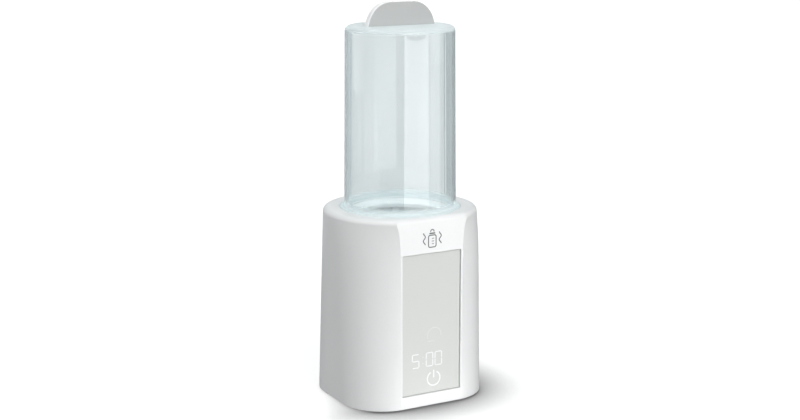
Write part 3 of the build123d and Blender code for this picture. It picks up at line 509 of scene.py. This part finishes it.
# power: a ring open at the top, and an upright bar in the gap
power_centre = (2.6 * MM, key_low.z + KEY_RADIUS)
ring = arc(power_centre, 5.8 * MM, 118, 422, 60)
ring_line = 1.1 * MM
upright = shifted(power_centre, [(0, 0.6), (0, 7)])
upright_line = 1.15 * MM
power_mesh = bmesh.new()
stroke(power_mesh, ring, ring_line, panel_front)
stroke(power_mesh, upright, upright_line, panel_front)
print_on_base("symbol_power", power_mesh, symbol_light)

# warming: an open dome over a short bar
warming_centre = (2.9 * MM, key_high.z - KEY_RADIUS)
dome = arc(warming_centre, 6.2 * MM, -8, 205, 48)
short_bar = shifted(warming_centre, [(-6, -4.6), (0.5, -4.6)])
warming_line = 0.7 * MM
warming_mesh = bmesh.new()
for points in (dome, short_bar):
    stroke(warming_mesh, points, warming_line, panel_front)
print_on_base("symbol_warming", warming_mesh, faint_light)

SEGMENTS_ON = {"0": "abcdef", "5": "acdfg"}
DIGIT_WIDTH = 6.0 * MM
DIGIT_HEIGHT = 11.0 * MM
DIGIT_BAR = 0.85 * MM
DIGIT_BAR_GAP = 0.12 * MM
DIGIT_COLUMNS = (("5", -14.0 * MM), ("0", -1.3 * MM), ("0", 6.8 * MM))
COLON_COLUMN = -7.3 * MM
COLON_RISE = 2.6 * MM
COLON_RADIUS = 0.65 * MM


def digit_bar(mesh_data, start, end):
    """One bar of a seven-segment digit, pointed at both ends."""
    start, end = Vector(start), Vector(end)
    along = (end - start).normalized()
    side = Vector((-along.y, along.x)) * DIGIT_BAR / 2
    inset = along * DIGIT_BAR / 2
    start += along * DIGIT_BAR_GAP
    end -= along * DIGIT_BAR_GAP
    outline = [start, start + inset + side, end - inset + side,
               end, end - inset - side, start + inset - side]
    flat_prism(mesh_data, [(point.x, point.y) for point in outline], panel_front)


def digit(mesh_data, figure, centre):
    """Seven-segment figure about a centre."""
    left, right = centre[0] - DIGIT_WIDTH / 2, centre[0] + DIGIT_WIDTH / 2
    low, middle, high = centre[1] - DIGIT_HEIGHT / 2, centre[1], centre[1] + DIGIT_HEIGHT / 2
    bars = {"a": ((left, high), (right, high)), "b": ((right, middle), (right, high)),
            "c": ((right, low), (right, middle)), "d": ((left, low), (right, low)),
            "e": ((left, low), (left, middle)), "f": ((left, middle), (left, high)),
            "g": ((left, middle), (right, middle))}
    for letter in SEGMENTS_ON[figure]:
        digit_bar(mesh_data, *bars[letter])


module_low, module_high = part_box("digit_module")
digit_row = (module_low.z + module_high.z) / 2
digit_mesh = bmesh.new()
for figure, column in DIGIT_COLUMNS:
    digit(digit_mesh, figure, (column, digit_row))
print_on_base("clock_digits", digit_mesh, symbol_light)

colon_mesh = bmesh.new()
for rise in (-COLON_RISE, COLON_RISE):
    dot = arc((COLON_COLUMN, digit_row + rise), COLON_RADIUS, 0, 345, 23)
    flat_prism(colon_mesh, dot, panel_front)
print_on_base("clock_colon", colon_mesh, faint_light)

# ---------------------------------------------------------------- mark on the facet
# a plain pictogram of a feeding bottle between two rising waves, points in millimetres about its centre
MARK_CENTRE = Vector((0, 138 * MM))
MARK_LINE = 0.8 * MM
SCALE_LINE = 0.5 * MM
COLLAR_LINE = 1.1 * MM
WAVE_OFFSET = 7.2
WAVE_SWING = 0.9
WAVE_HALF_LENGTH = 3.2

mark_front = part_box("base_shell")[0].y - PRINT_THICKNESS
bottle = (arc((-2.0, -5.6), 1.4, 180, 270, 6) + arc((2.0, -5.6), 1.4, 270, 360, 6)
          + arc((2.0, 1.2), 1.4, 0, 90, 6) + arc((-2.0, 1.2), 1.4, 90, 180, 6))
collar = [(-2.6, 4.1), (2.6, 4.1)]
teat = [(-1.7, 5.3)] + arc((0, 5.6), 1.5, 150, 30, 10) + [(1.7, 5.3)]
scale_marks = [[(-0.4, level), (1.6, level)] for level in (-4.4, -2.2, 0.0)]
wave_heights = [-4.8 + 0.4 * i for i in range(25)]
waves = [[(x + WAVE_SWING * math.sin(z * math.pi / WAVE_HALF_LENGTH), z) for z in wave_heights]
         for x in (-WAVE_OFFSET, WAVE_OFFSET)]

mark_mesh = bmesh.new()
stroke(mark_mesh, shifted(MARK_CENTRE, bottle), MARK_LINE, mark_front, closed=True)
open_lines = ([(collar, COLLAR_LINE), (teat, MARK_LINE)] + [(tick, SCALE_LINE) for tick in scale_marks]
              + [(wave, MARK_LINE) for wave in waves])
for points, width in open_lines:
    stroke(mark_mesh, shifted(MARK_CENTRE, points), width, mark_front)
print_on_base("facet_mark", mark_mesh, pad_print("mark_ink", (0.10, 0.105, 0.11)))


# ---------------------------------------------------------------- floor
CAMERA_AZIMUTH = math.radians(29.19)   # the camera stands to the left of the front
FLOOR_BACK = 6.0
FLOOR_FRONT = 0.35
FLOOR_LEFT = 5.0
FLOOR_RIGHT = 4.0
FLOOR_FADE = 1.6                       # distance at which the floor has faded to white
# the lower glows beside the base paint shade around it
SEEN_GLOW = (0.68, 1.0)                # emission for the camera, beside the base and faded
THROUGH_GLOW = (0.36, 0.54)            # emission for what is seen through the cover, likewise
# the shade on the floor around the base's foot is painted
PAINTED_SHADOW_REACH = 0.045                  # reach of the shade where the base stands on the floor
# painted pool of light: the floor in front of the facet is paler for the light it bounces
BRIGHT_HALF_WIDTH = 0.045              # patch in front of the facet whose bounced light reaches it
BRIGHT_NEAR = 0.055
BRIGHT_FAR = 0.30


def floor_material():
    """Pale studio table: grey for the light it bounces, lifted to white where it is seen."""
    material, tree, shader, place = new_material("studio_floor")
    rays = add_node(tree, "LightPath").outputs

    # it bounces little light, except from a painted pool of light in front of the facet
    mottle = remap(tree, noise(tree, place, scale=6, detail=3), 0, 1)
    bounced = mix_colour(tree, mottle, (0.29, 0.295, 0.295), (0.31, 0.31, 0.31))
    across = smooth_band(tree, axis_value(tree, place, "X"), -BRIGHT_HALF_WIDTH, BRIGHT_HALF_WIDTH,
                         soft_low=0.012, soft_high=0.012)
    ahead = smooth_band(tree, axis_value(tree, place, "Y"), -BRIGHT_FAR, -BRIGHT_NEAR,
                        soft_low=0.02, soft_high=0.008)
    bounced = mix_colour(tree, combine(tree, "MULTIPLY", across, ahead), bounced, (0.8, 0.8, 0.8))

    # painted shadow: darker along the base's foot, but not on the lit left side
    openness = add_node(tree, "AmbientOcclusion", {"Distance": PAINTED_SHADOW_REACH}, samples=16).outputs["AO"]
    outside_painted_shadow = remap(tree, openness, 0, 1, from_low=0.5, from_high=1)
    sideways = add_node(tree, "VectorMath", {0: place}, operation="DOT_PRODUCT")
    sideways.inputs[1].default_value = (math.cos(CAMERA_AZIMUTH), -math.sin(CAMERA_AZIMUTH), 0)
    lit_side = remap(tree, sideways.outputs["Value"], 1, 0, from_low=-0.062, from_high=-0.02)
    outside_painted_shadow = combine(tree, "MAXIMUM", outside_painted_shadow, lit_side)
    seen = mix_colour(tree, outside_painted_shadow, (0.1, 0.1, 0.1), (0.40, 0.405, 0.405))
    link(tree, mix_colour(tree, rays["Is Camera Ray"], bounced, seen), shader.inputs["Base Color"])
    shader.inputs["Roughness"].default_value = 0.6
    shader.inputs["Specular IOR Level"].default_value = 0.2

    # its glow lifts it to white, less beside the base and inside the painted shadow
    distance = add_node(tree, "VectorMath", {0: place}, operation="LENGTH").outputs["Value"]
    direct = remap(tree, distance, *SEEN_GLOW, from_low=0.15, from_high=FLOOR_FADE)
    direct = combine(tree, "MULTIPLY", direct, remap(tree, outside_painted_shadow, 0.2, 1, from_low=0, from_high=1))
    direct = combine(tree, "MULTIPLY", direct, rays["Is Camera Ray"])
    through = remap(tree, distance, *THROUGH_GLOW, from_low=0.12, from_high=FLOOR_FADE, smooth=True)
    through = combine(tree, "MULTIPLY", through, rays["Is Transmission Ray"])
    shader.inputs["Emission Color"].default_value = (1, 1, 1, 1)
    link(tree, combine(tree, "ADD", direct, through), shader.inputs["Emission Strength"])
    return material


stage_sheet("floor", ((-FLOOR_LEFT, -FLOOR_FRONT, 0), (FLOOR_RIGHT, -FLOOR_FRONT, 0),
                      (FLOOR_RIGHT, FLOOR_BACK, 0), (-FLOOR_LEFT, FLOOR_BACK, 0)), floor_material())


# ---------------------------------------------------------------- lights
def alone(nodes):
    """Collection that holds some CAD nodes, for a light that reaches nothing else."""
    group = bpy.data.collections.new(nodes[0] + "_alone")
    for node in nodes:
        group.objects.link(frame["nodes"][node])
    return group


def soft_light(name, azimuth, elevation, distance, width, height, radiance, rays="all", only=(),
               unshaded=False):
    """Rectangular soft light aimed at the object's middle; azimuth 0 is the front, positive to +X.

    Its rays can be "all", or just the "mirrored" or the "scattered" ones. It may light only some CAD nodes,
    and an unshaded light passes everything else on its way to them.
    """
    target = Vector((0, 0, (cad_box[0][2] + cad_box[1][2]) / 2))
    turn, lift = math.radians(azimuth), math.radians(elevation)
    offset = Vector((math.sin(turn) * math.cos(lift), -math.cos(turn) * math.cos(lift), math.sin(lift)))
    data = bpy.data.lights.new(name, "AREA")
    data.shape = "RECTANGLE"
    data.size = width
    data.size_y = height
    data.energy = radiance * math.pi * width * height
    lamp = bpy.data.objects.new(name, data)
    lamp.location = target + offset * distance
    lamp.rotation_euler = (-offset).to_track_quat("-Z", "Y").to_euler()
    lamp.visible_camera = False
    lamp.visible_diffuse = rays != "mirrored"
    lamp.visible_glossy = rays != "scattered"
    lamp.visible_transmission = rays != "scattered"
    if only:
        lamp.light_linking.receiver_collection = alone(only)
    if unshaded:
        lamp.light_linking.blocker_collection = alone(only)
    bpy.context.scene.collection.objects.link(lamp)


soft_light("key_softbox", azimuth=6, elevation=24, distance=1.5, width=1.5, height=1.3, radiance=2.5)
soft_light("low_fill", azimuth=8, elevation=-7, distance=0.9, width=0.6, height=0.08, radiance=7.5,
           rays="scattered")
soft_light("top_softbox", azimuth=0, elevation=88, distance=1.5, width=0.8, height=0.8, radiance=1.8)
soft_light("well_fill", azimuth=0, elevation=88, distance=0.6, width=0.3, height=0.3, radiance=5.0,
           rays="scattered", only=("well_liner", "bottle_basket"), unshaded=True)
soft_light("cover_glint", azimuth=6, elevation=-14.5, distance=1.5, width=1.5, height=0.8, radiance=2.8,
           rays="mirrored", only=("cover_tube",))
soft_light("cover_edge_glint", azimuth=48, elevation=-9, distance=1.5, width=0.7, height=1.3, radiance=1.2,
           rays="mirrored", only=("cover_tube",))
soft_light("facet_glint", azimuth=30, elevation=-14, distance=1.5, width=0.6, height=1.6, radiance=4.4,
           rays="mirrored", only=("base_shell",), unshaded=True)
soft_light("left_softbox", azimuth=-86, elevation=24, distance=2.0, width=1.2, height=1.5, radiance=1.4)
soft_light("rear_left_softbox", azimuth=-128, elevation=14, distance=2.0, width=1.4, height=1.5,
           radiance=0.7)


# ---------------------------------------------------------------- surroundings
SKY_LEVEL = 0.6
ROOM_LEVEL = 0.05
BACKDROP_LEVEL = 0.85
BACKDROP_LEFT = math.radians(-35)      # bearings from straight behind the object
BACKDROP_RIGHT = math.radians(38)


def studio_world():
    """Dim room with a white backdrop behind the object; the camera itself sees plain white."""
    world = bpy.data.worlds.new("studio")
    world.use_nodes = True
    tree = world.node_tree
    background = tree.nodes["Background"]
    direction = add_node(tree, "TexCoord").outputs["Generated"]
    height = axis_value(tree, direction, "Z")
    overhead = remap(tree, height, ROOM_LEVEL, SKY_LEVEL, from_low=0.25, from_high=0.6, smooth=True)
    bearing = combine(tree, "ARCTAN2", axis_value(tree, direction, "X"), axis_value(tree, direction, "Y"))
    behind = smooth_band(tree, bearing, BACKDROP_LEFT, BACKDROP_RIGHT, 0.25, 0.15)
    low_sky = smooth_band(tree, height, -0.3, 0.5, 0.2, 0.2)
    backdrop = combine(tree, "MULTIPLY", combine(tree, "MULTIPLY", behind, low_sky), BACKDROP_LEVEL)
    room = combine(tree, "MAXIMUM", overhead, backdrop)
    camera_ray = add_node(tree, "LightPath").outputs["Is Camera Ray"]
    link(tree, combine(tree, "MAXIMUM", room, camera_ray), background.inputs["Strength"])
    background.inputs["Color"].default_value = (0.98, 0.99, 1.0, 1.0)
    return world


def card_material(name, level):
    """Evenly glowing grey card."""
    material, tree, shader, place = new_material(name)
    shader.inputs["Base Color"].default_value = (0, 0, 0, 1)
    shader.inputs["Roughness"].default_value = 1.0
    shader.inputs["Emission Color"].default_value = (0.9, 0.97, 1.0, 1.0)
    grain = remap(tree, noise(tree, place, scale=3), level * 0.95, level * 1.05)
    link(tree, grain, shader.inputs["Emission Strength"])
    return material


def flag_card(name, near_edge, far_edge, level, behind=0.4, low=-0.01, high=0.9):
    """Grey card behind and beside the object, seen only in and through the clear cover, whose edges it draws.

    The edges are distances to the right of the camera's sight line, and behind is the distance past the axis.
    """
    sight = Vector((math.sin(CAMERA_AZIMUTH), math.cos(CAMERA_AZIMUTH), 0))
    right = Vector((math.cos(CAMERA_AZIMUTH), -math.sin(CAMERA_AZIMUTH), 0))
    near, far = (sight * behind + right * edge for edge in (near_edge, far_edge))
    up_low, up_high = Vector((0, 0, low)), Vector((0, 0, high))
    card = stage_sheet(name, (near + up_low, far + up_low, far + up_high, near + up_high),
                       card_material(name, level))
    card.visible_camera = False
    card.visible_diffuse = False
    card.visible_shadow = False


bpy.context.scene.world = studio_world()
flag_card("flag_right", near_edge=0.088, far_edge=0.9, level=0.32)
flag_card("flag_left", near_edge=-0.9, far_edge=-0.115, level=0.5)

# ---------------------------------------------------------------- camera
CAMERA_TILT = math.radians(12.07)
CAMERA_DISTANCE = 1.1727               # from the axis, over the floor
CAMERA_HEIGHT = 0.4017

camera_data = bpy.data.cameras.new("camera")
camera_data.sensor_width = 36.0
camera_data.lens = 66.76
camera = bpy.data.objects.new("camera", camera_data)
camera.location = (-CAMERA_DISTANCE * math.sin(CAMERA_AZIMUTH),
                   -CAMERA_DISTANCE * math.cos(CAMERA_AZIMUTH), CAMERA_HEIGHT)
camera.rotation_euler = (math.pi / 2 - CAMERA_TILT, 0, -CAMERA_AZIMUTH)
scene = bpy.context.scene
scene.collection.objects.link(camera)
scene.camera = camera
scene.view_settings.view_transform = "Standard"
scene.cycles.use_denoising = True
